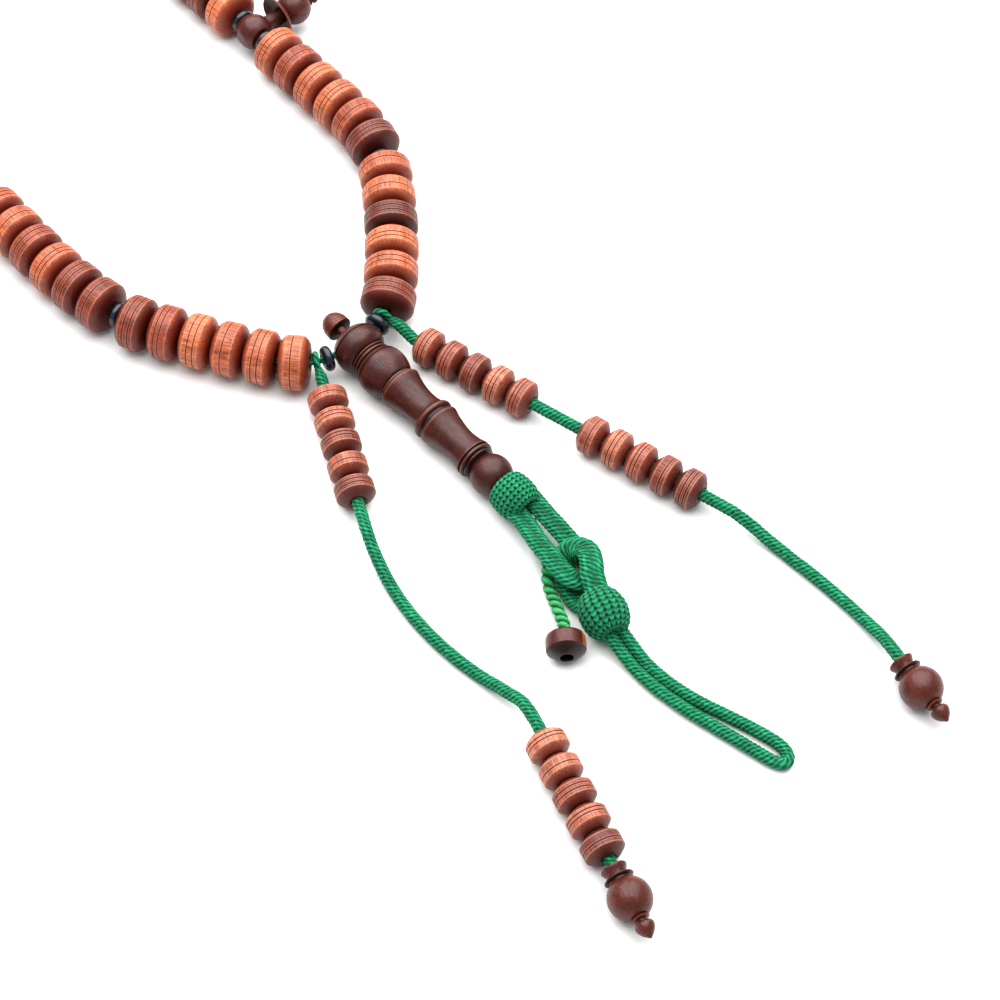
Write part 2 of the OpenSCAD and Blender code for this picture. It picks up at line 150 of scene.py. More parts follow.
def crocheted_cord(name, path, radius, depth=0.36, sides=36, ends=(1.0, 1.0), flat=None,
                   ribs_round=RIBS_ROUND, stitches_round=STITCHES_ROUND, lobes=0, lobe_pitch=2.1,
                   closed=False):
    """Sweeps a cord along a path, with its stitches. A flat cord is as wide as its radius each
    way, with its own thickness and a shallow line down its middle; lobes make a twisted one."""
    points, faces, relief = [], [], []
    step = (path[1] - path[0]).length / MM
    rings = len(path)
    for i, centre in enumerate(path):
        if closed:
            ahead = (path[(i + 1) % rings] - path[i - 1]).normalized()
        else:
            ahead = (path[min(i + 1, rings - 1)] - path[max(i - 1, 0)]).normalized()
        side = ahead.cross(Vector((0, 0, 1))).normalized()
        up = side.cross(ahead)
        slim = ends[0] + (1 - ends[0]) * min(1, i * step / 2.4)
        slim *= ends[1] + (1 - ends[1]) * min(1, (rings - 1 - i) * step / 4.0)
        for k in range(sides):
            turn = k / sides
            angle = 2 * math.pi * turn
            if lobes:
                # Plump lobes that wind round each other, each a bundle of finer threads
                wound = lobes * turn - i * step / lobe_pitch + 0.12 * math.sin(0.8 * i * step)
                height = abs(math.cos(math.pi * wound)) ** 0.75
                height *= 0.78 + 0.22 * abs(math.cos(math.pi * (3 * lobes * turn + i * step / 0.9)))
            else:
                wander = 0.09 * math.sin(i * step * 0.9 + 3 * angle)
                height = stitch(i * step / RIB_PITCH - ribs_round * turn + wander,
                                stitches_round * turn)
            thick = flat or radius
            if flat:
                middle = math.exp(-((radius * math.cos(angle) / 0.35) ** 2))
                height *= 1 - 0.35 * middle
                thick -= 0.16 * middle
            sunk = depth * (1 - height)
            wide, tall = (radius - sunk) * slim, (thick - sunk) * slim
            points.append(centre + side * wide * MM * math.cos(angle)
                          + up * tall * MM * math.sin(angle))
            relief.append(height)
    for i in range(rings if closed else rings - 1):
        a, b = i * sides, (i + 1) % rings * sides
        for k in range(sides):
            n = (k + 1) % sides
            faces.append((a + k, a + n, b + n, b + k))
    if not closed:
        faces.append([k for k in reversed(range(sides))])
        faces.append([(rings - 1) * sides + k for k in range(sides)])
    return mesh_piece(name, points, faces, relief)


def linear(hex_colour):
    """An sRGB hex colour as the linear colour that a shader takes."""
    parts = [int(hex_colour[i:i + 2], 16) / 255 for i in (1, 3, 5)]
    return [c / 12.92 if c <= 0.04045 else ((c + 0.055) / 1.055) ** 2.4 for c in parts] + [1.0]


def add_node(material, kind, sockets=None, **settings):
    """Adds a node with its settings; a socket takes a value or another node's output."""
    tree = material.node_tree
    made = tree.nodes.new("ShaderNode" + kind)
    for name, value in settings.items():
        setattr(made, name, value)
    for key, value in (sockets or {}).items():
        if isinstance(value, bpy.types.NodeSocket):
            tree.links.new(value, made.inputs[key])
        else:
            made.inputs[key].default_value = value
    return made


def crochet_thread(name, gap, thread, crest_highlight):
    """Polyester crochet thread: matt, with painted shade in the gaps and a painted highlight on the
    backs of stitches.
    """
    material = bpy.data.materials.new(name)
    material.use_nodes = True
    shader = material.node_tree.nodes["Principled BSDF"]
    relief = add_node(material, "Attribute", attribute_name="relief")
    place = add_node(material, "TexCoord")
    # Filaments are about 0.15 mm apart where they show between the stitches
    fibres = add_node(material, "TexNoise", {"Vector": place.outputs["Object"],
                                             "Scale": 6500.0, "Detail": 2.0})
    cloudy = add_node(material, "TexNoise", {"Vector": place.outputs["Object"],
                                             "Scale": 160.0, "Detail": 1.0})
    # Painted shade and highlight: the relief takes the thread from its own colour down to the gap
    # colour in the holes and up to the highlight colour on the backs of stitches
    low = add_node(material, "MapRange", {"Value": relief.outputs["Fac"], "From Min": 0.15,
                                          "From Max": 0.6})
    high = add_node(material, "MapRange", {"Value": relief.outputs["Fac"], "From Min": 0.6,
                                           "From Max": 1.0})
    body = add_node(material, "Mix", {0: low.outputs[0], 6: linear(gap), 7: linear(thread)},
                    data_type="RGBA")
    lit = add_node(material, "Mix", {0: high.outputs[0], 6: body.outputs[2], 7: linear(crest_highlight)},
                   data_type="RGBA")
    speck = add_node(material, "MapRange", {"Value": fibres.outputs["Fac"], "From Min": 0.3,
                                            "From Max": 0.7, "To Min": 0.78, "To Max": 1.18})
    patch = add_node(material, "MapRange", {"Value": cloudy.outputs["Fac"], "From Min": 0.3,
                                            "From Max": 0.7, "To Min": 0.9, "To Max": 1.08})
    both = add_node(material, "Math", {0: speck.outputs[0], 1: patch.outputs[0]},
                    operation="MULTIPLY")
    colour = add_node(material, "VectorMath", {0: lit.outputs[2], 1: both.outputs[0]},
                      operation="MULTIPLY")
    bump = add_node(material, "Bump", {"Height": fibres.outputs["Fac"], "Strength": 0.5,
                                       "Distance": 0.00006})
    material.node_tree.links.new(colour.outputs[0], shader.inputs["Base Color"])
    material.node_tree.links.new(bump.outputs[0], shader.inputs["Normal"])
    shader.inputs["Roughness"].default_value = 0.8
    shader.inputs["Specular IOR Level"].default_value = 0.2
    shader.inputs["Sheen Weight"].default_value = 0.06
    shader.inputs["Sheen Roughness"].default_value = 0.5
    return material


# Its darkest colour is painted shade in the gaps, its palest a painted highlight on the stitches
green_thread = crochet_thread("green_crochet_thread", "#05281B", "#0F6243", "#279A6C")

# The eye at each cord's start is a ring of the same stitches round the main string
EYE_RING = 1.6
EYE_THREAD = 0.7
cords = {}
for side, route in (("right", right_cord_route), ("left", left_cord_route)):
    path = smooth_path(route, 0.14)
    cord = crocheted_cord(side + "_counter_cord_crochet", path, CORD_RADIUS,
                          ends=(0.6, 0.55 if side == "left" else 1.0))
    cord.data.materials.append(green_thread)
    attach(cord, side + "_strand")
    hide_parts(side + "_counter_cord")
    cords[side] = (cord, path)

# ---------------------------------------------------------------------------
# Main string. It is one green polyester string, 1.4 mm thick, twisted from
# three strands, and it shows only in the gaps between the pieces. It leaves
# the leader bead's head both ways and bends into two long straight sides.
# ---------------------------------------------------------------------------
STRING_RADIUS = 0.7
STRING_Z = 6.0
BEAD_STEP = 7.25
DISC_STEP = 2.5
MARKER_STEP = 6.3
HEAD_DISC_AT = 7.0
EYE_AT = 9.45
FIRST_BEAD = 10.5
SLACK = 12.0
right_bends = [(4.4, 0), (4.4, 26), (8, 20), (31, 10), (12, 18), (12, 16)]
left_bends = [(4.4, 0), (4.4, 26), (8, 30), (31, 6), (12, 18), (20, 10)]


def stretch(pose, length, turn):
    """Goes on from a pose (x, y, heading) along a straight or evenly bent stretch."""
    x, y, heading = pose
    before, after = math.radians(heading), math.radians(heading + turn)
    if abs(turn) < 0.001:
        return (x + length * math.cos(before), y + length * math.sin(before), heading)
    radius = length / math.radians(turn)
    return (x + radius * (math.sin(after) - math.sin(before)),
            y - radius * (math.cos(after) - math.cos(before)), heading + turn)


def walk(pose, bends, side, distance):
    for length, turn in bends:
        if distance <= length:
            return stretch(pose, distance, side * turn * distance / length)
        pose = stretch(pose, length, side * turn)
        distance -= length
    return pose


starts = {1: (0, CROSSING_Y, 0), -1: (0, CROSSING_Y, 180)}
right_length = sum(length for length, turn in right_bends)
left_length = sum(length for length, turn in left_bends)
straight_right = walk(starts[1], right_bends, 1, right_length)
straight_left = walk(starts[-1], left_bends, -1, left_length)
far_radius = (straight_right[0] - straight_left[0]) / 2
quarter = math.pi / 2 * far_radius

# Where each group starts on either half, and the discs and markers between them
groups, discs, markers = [], [], []
reached = FIRST_BEAD
for count, follows in ((6, "disc"), (6, "marker"), (6, "disc"), (6, "disc"), (6, "marker"),
                       (10, "disc"), (10, "")):
    groups.append((reached, count))
    reached += count * BEAD_STEP
    if follows == "disc":
        discs.append(reached + DISC_STEP / 2)
        reached += DISC_STEP
    elif follows == "marker":
        discs.append(reached + DISC_STEP / 2)
        markers.append(reached + DISC_STEP + MARKER_STEP / 2)
        reached += 2 * DISC_STEP + MARKER_STEP
        discs.append(reached - DISC_STEP / 2)
middle_right = reached + SLACK + DISC_STEP + MARKER_STEP / 2
far_y = straight_right[1] + middle_right - quarter - right_length
middle_left = left_length + far_y - straight_left[1] + quarter
routes = {
    1: right_bends + [(far_y - straight_right[1], 0), (quarter, 90)],
    -1: left_bends + [(far_y - straight_left[1], 0), (quarter, 90)],
}


def on_string(side, distance):
    return walk(starts[side], routes[side], side, distance)


string_step = 0.8
right_half = [on_string(1, i * string_step) for i in range(int(middle_right / string_step) + 1)]
left_half = [on_string(-1, i * string_step) for i in range(1, int(middle_left / string_step))]
string_path = [spot(x, y, STRING_Z) for x, y, _ in right_half + left_half[::-1]]
string = crocheted_cord("twisted_main_string", string_path, STRING_RADIUS, depth=0.12, sides=12,
                        lobes=3, lobe_pitch=3.0, closed=True)
string.data.materials.append(green_thread)
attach(string, "string")
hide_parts("main_string")

# ---------------------------------------------------------------------------
# Main beads. Each is a flat bead of reddish hardwood, 12 mm across, turned on
# a lathe with its grain along the bore, scored with one or two fine lines,
# then oiled. No two come from the same wood, so light and dark ones mix.
# ---------------------------------------------------------------------------
def turn_piece(name, outline, steps=56):
    """Turns a piece round Z from half its outline. Each point is (radius, height, shade, end):
    shade is painted shade, 1 in the bore and in grooves, and below 0 on a light edge, which is wear
    with a painted highlight; end is 1 on end grain, which also carries painted shade."""
    bpy.ops.object.select_all(action="DESELECT")
    bpy.ops.mesh.primitive_plane_add(size=MM)
    piece = bpy.context.object
    piece.name = name
    bpy.ops.object.mode_set(mode="EDIT")
    bpy.ops.mesh.merge(type="CENTER")
    bpy.ops.transform.translate(value=(outline[0][0] * MM, 0, outline[0][1] * MM))
    for before, after in zip(outline, outline[1:]):
        move = ((after[0] - before[0]) * MM, 0, (after[1] - before[1]) * MM)
        bpy.ops.mesh.extrude_region_move(TRANSFORM_OT_translate={"value": move})
    bpy.ops.mesh.select_all(action="SELECT")
    bpy.ops.mesh.spin(steps=steps, angle=2 * math.pi, center=(0, 0, 0), axis=(0, 0, 1))
    bpy.ops.mesh.select_all(action="SELECT")
    bpy.ops.mesh.remove_doubles(threshold=0.000005)
    bpy.ops.mesh.normals_make_consistent(inside=False)
    bpy.ops.object.mode_set(mode="OBJECT")
    bpy.ops.object.shade_smooth_by_angle(angle=math.radians(40))
    shade, end = [], []
    for vertex in piece.data.vertices:
        r, z = math.hypot(vertex.co.x, vertex.co.y) / MM, vertex.co.z / MM
        nearest = min(outline, key=lambda p: (p[0] - r) ** 2 + (p[1] - z) ** 2)
        shade.append(nearest[2] if len(nearest) > 2 else 0.0)
        end.append(nearest[3] if len(nearest) > 3 else 0.0)
    piece.data.attributes.new("shade", "FLOAT", "POINT").data.foreach_set("value", shade)
    piece.data.attributes.new("end", "FLOAT", "POINT").data.foreach_set("value", end)
    return piece


def arc(radius, start, end, steps, middle=0.0):
    """Points on a circle whose centre is on the axis, from one angle to another."""
    angles = [math.radians(start + (end - start) * i / steps) for i in range(steps + 1)]
    return [(radius * math.cos(a), middle + radius * math.sin(a)) for a in angles]


def lying(x, y, z, heading, rolled=0.0):
    """Lays a turned piece down: its axis points along a heading on the table."""
    return (Matrix.Translation(spot(x, y, z)) @ Matrix.Rotation(math.radians(heading), 4, "Z")
            @ Matrix.Rotation(math.radians(90), 4, "Y") @ Matrix.Rotation(rolled, 4, "Z"))


def copy_piece(pattern, name, place, tone, number):
    """Copies a turned piece to its place. It keeps its own wood: where in the block it was
    cut from, in mm, and how dark that block is."""
    piece = pattern.copy()
    piece.data = pattern.data.copy()
    piece.name = name
    bpy.context.scene.collection.objects.link(piece)
    grain = []
    for vertex in piece.data.vertices:
        grain += [vertex.co.x / MM + 31.7 * number, vertex.co.y / MM + 17.3 * number,
                  vertex.co.z / MM]
    piece.data.attributes.new("grain", "FLOAT_VECTOR", "POINT").data.foreach_set("vector", grain)
    tones = [tone] * len(piece.data.vertices)
    piece.data.attributes.new("tone", "FLOAT", "POINT").data.foreach_set("value", tones)
    piece.data.transform(place)
    return piece


def score(radius, height, depth=0.16, half_width=0.15):
    """One line cut round a bead with the corner of a chisel, darkened with painted shade, with light
    edges that are wear with a painted highlight.
    """
    return [(radius, height + half_width + 0.22, 0), (radius, height + half_width + 0.08, -0.3),
            (radius - 0.01, height + half_width, 0), (radius - depth, height + 0.05, 0.85),
            (radius - depth, height - 0.05, 0.85), (radius - 0.01, height - half_width, 0),
            (radius, height - half_width - 0.08, -0.3), (radius, height - half_width - 0.22, 0)]


def bored_bead(face, rim, lines):
    """The whole outline of a bored bead from its top face's outline, its rim and its lines."""
    under = [(r, -z, shade, end) for r, z, shade, end in reversed(face)]
    scored = []
    for line in sorted(lines, reverse=True):
        scored += score(rim, line)
    ring = face + scored + under
    # The bore wall is given full painted shade
    return ring + [(face[0][0], 0.0, 1.0, 0.0), ring[0]]


# Painted shade darkens the face towards the bore, and the light edge at the shoulder is wear with a
# painted highlight
main_face = [
    (1.2, 3.1, 1.0, 1), (1.45, 3.34, 0.7, 1), (1.9, 3.42, 0.35, 1), (3.2, 3.38, 0.15, 1),
    (4.2, 3.2, 0.1, 0.95), (4.85, 2.93, 0.05, 0.85), (5.35, 2.58, 0, 0.7), (5.7, 2.2, 0, 0.45),
    (5.9, 1.9, 0, 0.15), (5.97, 1.75, -0.4, 0), (6.0, 1.62, -0.15, 0), (6.0, 1.5, 0, 0),
]
bead_patterns = [
    turn_piece("bead_pattern_two_lines", bored_bead(main_face, 6.0, [0.6, -0.75])),
    turn_piece("bead_pattern_one_line", bored_bead(main_face, 6.0, [0.3])),
    turn_piece("bead_pattern_low_lines", bored_bead(main_face, 6.0, [0.15, -0.95])),
]


def oiled_hardwood(name, tones, end, groove_shade, edge, streak=1.0, gloss=0.42):
    """Oiled reddish hardwood turned on a lathe, from its three tones, light to dark: fine
    fibres along the grain, short dark pores, dark end grain that also carries painted shade, painted
    shade in grooves and the bore, light edges of wear with a painted highlight, and a soft satin
    shine."""
    material = bpy.data.materials.new(name)
    material.use_nodes = True
    shader = material.node_tree.nodes["Principled BSDF"]
    grain = add_node(material, "Attribute", attribute_name="grain")
    tone = add_node(material, "Attribute", attribute_name="tone")
    shade = add_node(material, "Attribute", attribute_name="shade")
    ends = add_node(material, "Attribute", attribute_name="end")
    # Fibres run along the bore, 0.3 mm apart and some millimetres long
    along = add_node(material, "Mapping", {"Vector": grain.outputs["Vector"],
                                           "Scale": (1.0, 1.0, 0.1)})
    fibres = add_node(material, "TexNoise", {"Vector": along.outputs[0], "Scale": 3.2,
                                             "Detail": 3.0, "Roughness": 0.6})
    # Growth rings cross a piece as a few broad soft bands
    rings = add_node(material, "TexNoise", {"Vector": along.outputs[0], "Scale": 0.3,
                                            "Detail": 2.0, "Distortion": 0.8})
    # Oil soaks in unevenly, in patches of two or three millimetres
    oiled = add_node(material, "TexNoise", {"Vector": grain.outputs["Vector"], "Scale": 0.4,
                                            "Detail": 2.0})
    pores = add_node(material, "TexNoise", {"Vector": along.outputs[0], "Scale": 6.5,
                                            "Detail": 1.0})

    def between(node, low, high, to_low, to_high):
        return add_node(material, "MapRange", {"Value": node.outputs["Fac"], "From Min": low,
                                               "From Max": high, "To Min": to_low,
                                               "To Max": to_high}).outputs[0]

    def mixed(factor, a, b):
        return add_node(material, "Mix", {0: factor, 6: a, 7: b}, data_type="RGBA").outputs[2]

    def product(a, b):
        return add_node(material, "Math", {0: a, 1: b}, operation="MULTIPLY").outputs[0]

    light, middle, dark = [linear(colour) for colour in tones]
    wood = mixed(between(tone, 0.5, 1.0, 0.0, 1.0),
                 mixed(between(tone, 0.0, 0.5, 0.0, 1.0), light, middle), dark)
    figure = product(between(fibres, 0.34, 0.66, 1 - 0.52 * streak, 1 + 0.46 * streak),
                     between(rings, 0.35, 0.65, 1 - 0.18 * streak, 1 + 0.12 * streak))
    figure = product(figure, between(oiled, 0.35, 0.65, 1 - 0.14 * streak, 1 + 0.1 * streak))
    figure = product(figure, between(pores, 0.57, 0.66, 1.0, 0.52))
    figured = add_node(material, "VectorMath", {0: wood, 1: figure}, operation="MULTIPLY")
    # End grain soaks up more oil, so it is darker and redder and keeps only some of the tone; this
    # darkening is also painted shade on the end faces
    soaked_and_shaded = add_node(material, "VectorMath", {0: wood, 1: linear(end)[:3]}, operation="MULTIPLY")
    colour = mixed(ends.outputs["Fac"], figured.outputs[0], soaked_and_shaded.outputs[0])
    # Light edges, where shade is below 0, are wear with a painted highlight
    colour = mixed(between(shade, 0.0, -1.0, 0.0, 1.0), colour, linear(edge))
    # Painted shade: the bore, grooves and hollows darken towards the shade colour as shade goes to 1
    colour = mixed(between(shade, 0.0, 1.0, 0.0, 1.0), colour, linear(groove_shade))
    bump = add_node(material, "Bump", {"Height": fibres.outputs["Fac"], "Strength": 0.35,
                                       "Distance": 0.00006})
    material.node_tree.links.new(colour, shader.inputs["Base Color"])
    material.node_tree.links.new(between(fibres, 0.3, 0.7, gloss + 0.08, gloss - 0.06),
                                 shader.inputs["Roughness"])
    material.node_tree.links.new(bump.outputs[0], shader.inputs["Normal"])
    shader.inputs["Specular IOR Level"].default_value = 0.4
    return material


bead_wood = oiled_hardwood("oiled_main_bead_wood", ("#BD6C47", "#8E422C", "#4A1B17"),
                           end="#A87C7C", groove_shade="#4E1A10", edge="#D08A66")

# How dark each bead is, from the leader bead outwards; the rest go on in a plain mixture
tones = {
    1: [0.78, 0.24, 0.05, 0.97, 0.13, 0.28, 0.85, 0.45, 0.18, 0.2, 0.5, 0.2],
    -1: [0.22, 0.26, 0.33, 0.08, 0.55, 0.72, 0.72, 0.75, 0.3, 0.6, 0.28, 0.4],
}
shapes = {
    1: [0, 0, 2, 0, 1, 1, 2, 1, 2, 0, 1, 0],
    -1: [1, 0, 1, 0, 2, 0, 1, 0, 2, 0, 1, 2],
}
bead_nodes = {
    1: [("right_beads_1", 6, "string"), ("right_beads_2", 6, "string"),
        ("right_beads_3", 6, "right_beads_3"), ("right_beads_4", 6, "right_beads_4"),
        ("right_beads_5", 6, "right_beads_5"), ("right_beads_6", 10, "right_beads_6"),
        ("right_beads_7", 4, "right_beads_7"), ("right_beads_8", 5, "right_far_beads"),
        ("right_bead_last", 1, "right_last_bead")],
    -1: [("left_beads_1", 6, "string"), ("left_beads_2", 6, "string"),
         ("left_beads_3", 6, "left_beads_3"), ("left_beads_4", 6, "left_beads_4"),
         ("left_beads_5", 6, "left_beads_5"), ("left_beads_6", 14, "left_beads_6"),
         ("left_beads_7", 5, "left_far_beads"), ("left_bead_last", 1, "left_last_bead")],
}
for side, side_name in ((1, "right"), (-1, "left")):
    distances = [start + (i + 0.5) * BEAD_STEP for start, count in groups for i in range(count)]
    number = 0
    for node, count, body in bead_nodes[side]:
        for i in range(count):
            x, y, heading = on_string(side, distances[number])
            mixture = 0.45 + 0.4 * math.sin(number * 2.4 + side)
            tone = tones[side][number] if number < 12 else mixture
            shape = shapes[side][number] if number < 12 else (number * 2 + side) % 3
            flip = 180 if number % 3 == 1 else 0
            bead = copy_piece(
                bead_patterns[shape], "%s_main_bead_%02d" % (side_name, number + 1),
                lying(x, y, STRING_Z, heading + flip, 1.7 * number), tone, number + 60 * side,
            )
            bead.data.materials.append(bead_wood)
            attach(bead, body)
            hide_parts(node)
            number += 1
for pattern in bead_patterns:
    bpy.data.objects.remove(pattern)

# ---------------------------------------------------------------------------
# Counter beads. They are turned like the main beads from the same wood but are
# 8.5 mm across, with one or two scored lines and coned ends, and they slide on
# the thick cord with some friction. Five sit together in each group.
# ---------------------------------------------------------------------------
COUNTER_Z = 4.25
COUNTER_STEP = 6.0
# Painted shade darkens the face towards the bore, and the light edge at the shoulder is wear with a
# painted highlight
counter_face = [
    (1.5, 2.6, 1.0, 1), (1.75, 2.82, 0.6, 1), (2.1, 2.85, 0.3, 1), (2.5, 2.7, 0.15, 0.95),
    (3.0, 2.4, 0.05, 0.85), (3.5, 2.02, 0, 0.7), (3.9, 1.7, 0, 0.4), (4.12, 1.48, 0, 0.1),
    (4.22, 1.36, -0.45, 0), (4.25, 1.24, -0.2, 0), (4.25, 1.12, 0, 0),
]
counter_patterns = [
    turn_piece("counter_pattern_two_lines", bored_bead(counter_face, 4.25, [0.5, -0.45]), 48),
    turn_piece("counter_pattern_side_line", bored_bead(counter_face, 4.25, [0.35]), 48),
    turn_piece("counter_pattern_low_lines", bored_bead(counter_face, 4.25, [0.1, -0.7]), 48),
]
counter_wood = oiled_hardwood("polished_counter_bead_wood", ("#BE785C", "#8A4636", "#4C201C"),
                              end="#A88282", groove_shade="#501C13", edge="#D09A80", gloss=0.46)
right_line = (12.1, -8.3, -75.3)
right_line_2 = 42.1
left_line = (-13.3, -4.9, -116.0)
left_line_2 = (-34.1, -97.7, -106.5)
counter_tones = {
    "right": [0.35, 0.5, 0.68, 0.2, 0.45, 0.45, 0.3, 0.42, 0.65, 0.78],
    "left": [0.4, 0.3, 0.68, 0.4, 0.75, 0.2, 0.3, 0.5, 0.4, 0.8],
}
strand_pieces = {"right": [], "left": []}
for side in ("right", "left"):
    for number in range(10):
        x, y, heading = right_line if side == "right" else left_line
        gone = (number % 5) * COUNTER_STEP
        if number >= 5:
            if side == "right":
                gone += right_line_2
            else:
                x, y, heading = left_line_2
        x += gone * math.cos(math.radians(heading))
        y += gone * math.sin(math.radians(heading))
        name = "%s_counter_bead_%d" % (side, number + 1)
        bead = copy_piece(
            counter_patterns[(2 * number + (side == "left")) % 3], name + "_turned",
            lying(x, y, COUNTER_Z, heading, 2.1 * number), counter_tones[side][number],
            number + (200 if side == "left" else 160),
        )
        bead.data.materials.append(counter_wood)
        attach(bead, name)
        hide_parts(name)
        strand_pieces[side].append(bead)
for pattern in counter_patterns:
    bpy.data.objects.remove(pattern)

# ---------------------------------------------------------------------------
# Finials. Each ends a counter strand: a dark red-brown piece turned with a
# dished cup that hides the cord's knot, a thin flange, a ball, and an acorn
# tip on a collar.
# ---------------------------------------------------------------------------
FINIAL_BALL = 4.45
# Painted shade darkens the dished cup, the necks and the underside of the flange; the light rims are
# wear with a painted highlight
finial_outline = (
    [(0, 1.9, 0.9), (1.4, 1.7, 0.8), (1.95, 1.0, 0.5), (2.4, 0.35, 0.2), (2.55, 0.27, -0.3),
     (2.68, 0.33, -0.4), (2.68, 0.5, 0.1), (2.5, 0.9, 0), (2.25, 1.3, 0), (2.05, 1.7, 0),
     (1.95, 2.1, 0.2), (2.05, 2.28, 0.4), (2.6, 2.42, 0.3), (2.98, 2.5, 0.3), (3.06, 2.6, 0),
     (3.05, 2.74, 0.2), (2.7, 2.92, 0.5), (2.3, 3.05, 0.8)]
    + [(r, z, 0.35 if i == 0 else 0) for i, (r, z) in enumerate(arc(FINIAL_BALL, -60, 68, 22, 7.2))]
    + [(1.5, 11.3, 0.8), (1.55, 11.4, 0.5), (1.75, 11.5, -0.3), (1.84, 11.66, -0.5),
       (1.72, 11.84, 0), (1.3, 12.05, 0.4), (1.08, 12.2, 0.4), (1.05, 12.4, 0.4), (1.2, 12.56, 0.2),
       (1.7, 12.8, 0), (1.95, 13.2, 0), (1.98, 13.6, 0), (1.75, 14.25, 0), (1.3, 14.95, 0),
       (0.72, 15.5, 0), (0.3, 15.9, 0), (0, 16.08, 0)]
)
finial_pattern = turn_piece("finial_pattern", finial_outline, 56)
finial_wood = oiled_hardwood("polished_finial_wood", ("#602B1D", "#461A14", "#280E0B"),
                             end="#C0A8A8", groove_shade="#140504", edge="#8A4632", streak=0.8,
                             gloss=0.36)
finial_places = {"right": (31.2, -129.9, 4.5, -100.5), "left": (-42.35, -125.2, 4.5, -106.5)}
for side in ("right", "left"):
    finial = copy_piece(finial_pattern, side + "_finial_turned", lying(*finial_places[side]),
                        0.3, 250 if side == "right" else 260)
    finial.data.materials.append(finial_wood)
    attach(finial, side + "_strand")
    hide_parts(side + "_finial")
    strand_pieces[side].append(finial)
    ring = []
    x, y, heading = on_string(1 if side == "right" else -1, EYE_AT)
    for i in range(60):
        angle = 2 * math.pi * i / 60
        turned = Matrix.Rotation(math.radians(heading), 4, "Z") @ Vector(
            (0, EYE_RING * MM * math.cos(angle), EYE_RING * MM * math.sin(angle)))
        ring.append(spot(x, y, STRING_Z) + turned)
    eye = crocheted_cord(side + "_cord_eye", ring, EYE_THREAD, depth=0.12, sides=14, lobes=3,
                         lobe_pitch=1.5, closed=True)
    eye.data.materials.append(green_thread)
    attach(eye, side + "_strand")
    cord, path = cords[side]
bpy.data.objects.remove(finial_pattern)

# ---------------------------------------------------------------------------
# Tassel loops. Two loops hook through each other below the leader bead. Each
# is the same crochet worked wide and flat, two rows side by side. A long round
# loop below them, from the lower ball, hangs the beads on a hook.
# ---------------------------------------------------------------------------
LOOP_HALF_WIDTH = 2.3
LOOP_HALF_THICK = 1.3
upper_loop_route = [
    (-2.35, -52, 5), (-3.3, -57.4, 5.4), (-4.5, -62, 6.0), (-5.1, -66.3, 6.2), (-5.5, -70, 5.9),
    (-4.7, -73.2, 5.0), (-2.3, -74.6, 3.6), (0.3, -72.8, 2.4), (1.7, -69.2, 2.0),
    (1.8, -65.7, 2.9), (1.7, -61.5, 4.2), (1.8, -57, 4.8), (2.35, -52, 5),
]
link_loop_route = [
    (-4.2, -80, 6.0), (-2.2, -75.8, 7.2), (-0.5, -73.6, 7.5), (0.8, -71.4, 7.3),
    (0.9, -69.2, 6.7), (-0.2, -67.6, 5.9), (-1.7, -67.3, 4.4), (-3.2, -68.4, 2.6),
    (-4.4, -70.6, 1.5), (-5.6, -73.6, 1.35), (-6.1, -76.4, 1.7), (-5.9, -79.8, 3.9),
]
hanging_route = [
    (-5.0, -86, 4.4), (-5.3, -90, 3.1), (-5.6, -95, 1.6), (-5.5, -100, 1.45), (-4.8, -105, 1.45),
    (-3.7, -109.5, 1.45), (-2.2, -114, 1.45), (-0.7, -118.5, 1.45), (0.6, -123, 1.45),
    (1.3, -126.8, 1.45), (0.7, -129.4, 1.45), (-0.8, -130.1, 1.45), (-2.1, -128.5, 1.45),
    (-3.1, -125, 1.45), (-4.3, -120, 1.45), (-5.5, -115, 1.45), (-6.7, -110, 1.45),
    (-7.6, -105, 1.45), (-8.2, -100, 1.45), (-8.3, -95, 1.6), (-8.1, -90, 3.1), (-7.8, -86.5, 4.4),
]
for node, body, route in (("upper_loop", "tassel", upper_loop_route),
                          ("link_loop", "tassel_end", link_loop_route)):
    path = smooth_path(route, 0.14)
    wide = LOOP_HALF_WIDTH + (0.3 if node == "link_loop" else 0)
    loop = crocheted_cord(node + "_crochet", path, wide, sides=56,
                          flat=LOOP_HALF_THICK, ribs_round=7, stitches_round=10)
    loop.data.materials.append(green_thread)
    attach(loop, body)
    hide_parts(node)
path = smooth_path(hanging_route, 0.14)
hanging_loop = crocheted_cord("hanging_loop_crochet", path, CORD_RADIUS)
hanging_loop.data.materials.append(green_thread)
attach(hanging_loop, "tassel_end")
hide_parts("hanging_loop")

# ---------------------------------------------------------------------------
# Crochet balls. Each is worked in the round in the same green thread over a
# small core. The upper one cups the leader bead's ball end and the loop comes
# out under its rim; the lower one gathers the link loop and hanging loop.
# ---------------------------------------------------------------------------
def crochet_v(row, column, holes, lines):
    """How far a V stitch stands out. Its rows are chevrons, with a hole beside each stitch and
    a line between one column of stitches and the next."""
    column += 0.06 * math.sin(1.9 * math.floor(row))
    v = column % 1.0
    row += 1.0 * abs(v - 0.5)
    edge = abs(math.cos(math.pi * row)) ** 3
    side = abs(math.cos(math.pi * v)) ** 4
    middle = math.exp(-(((v - 0.5) / 0.09) ** 2))
    plump = 0.85 + 0.15 * uneven(math.floor(row), math.floor(column))
    return plump * max(0.0, 1 - holes * edge * side - lines * side - 0.4 * edge - 0.2 * middle)


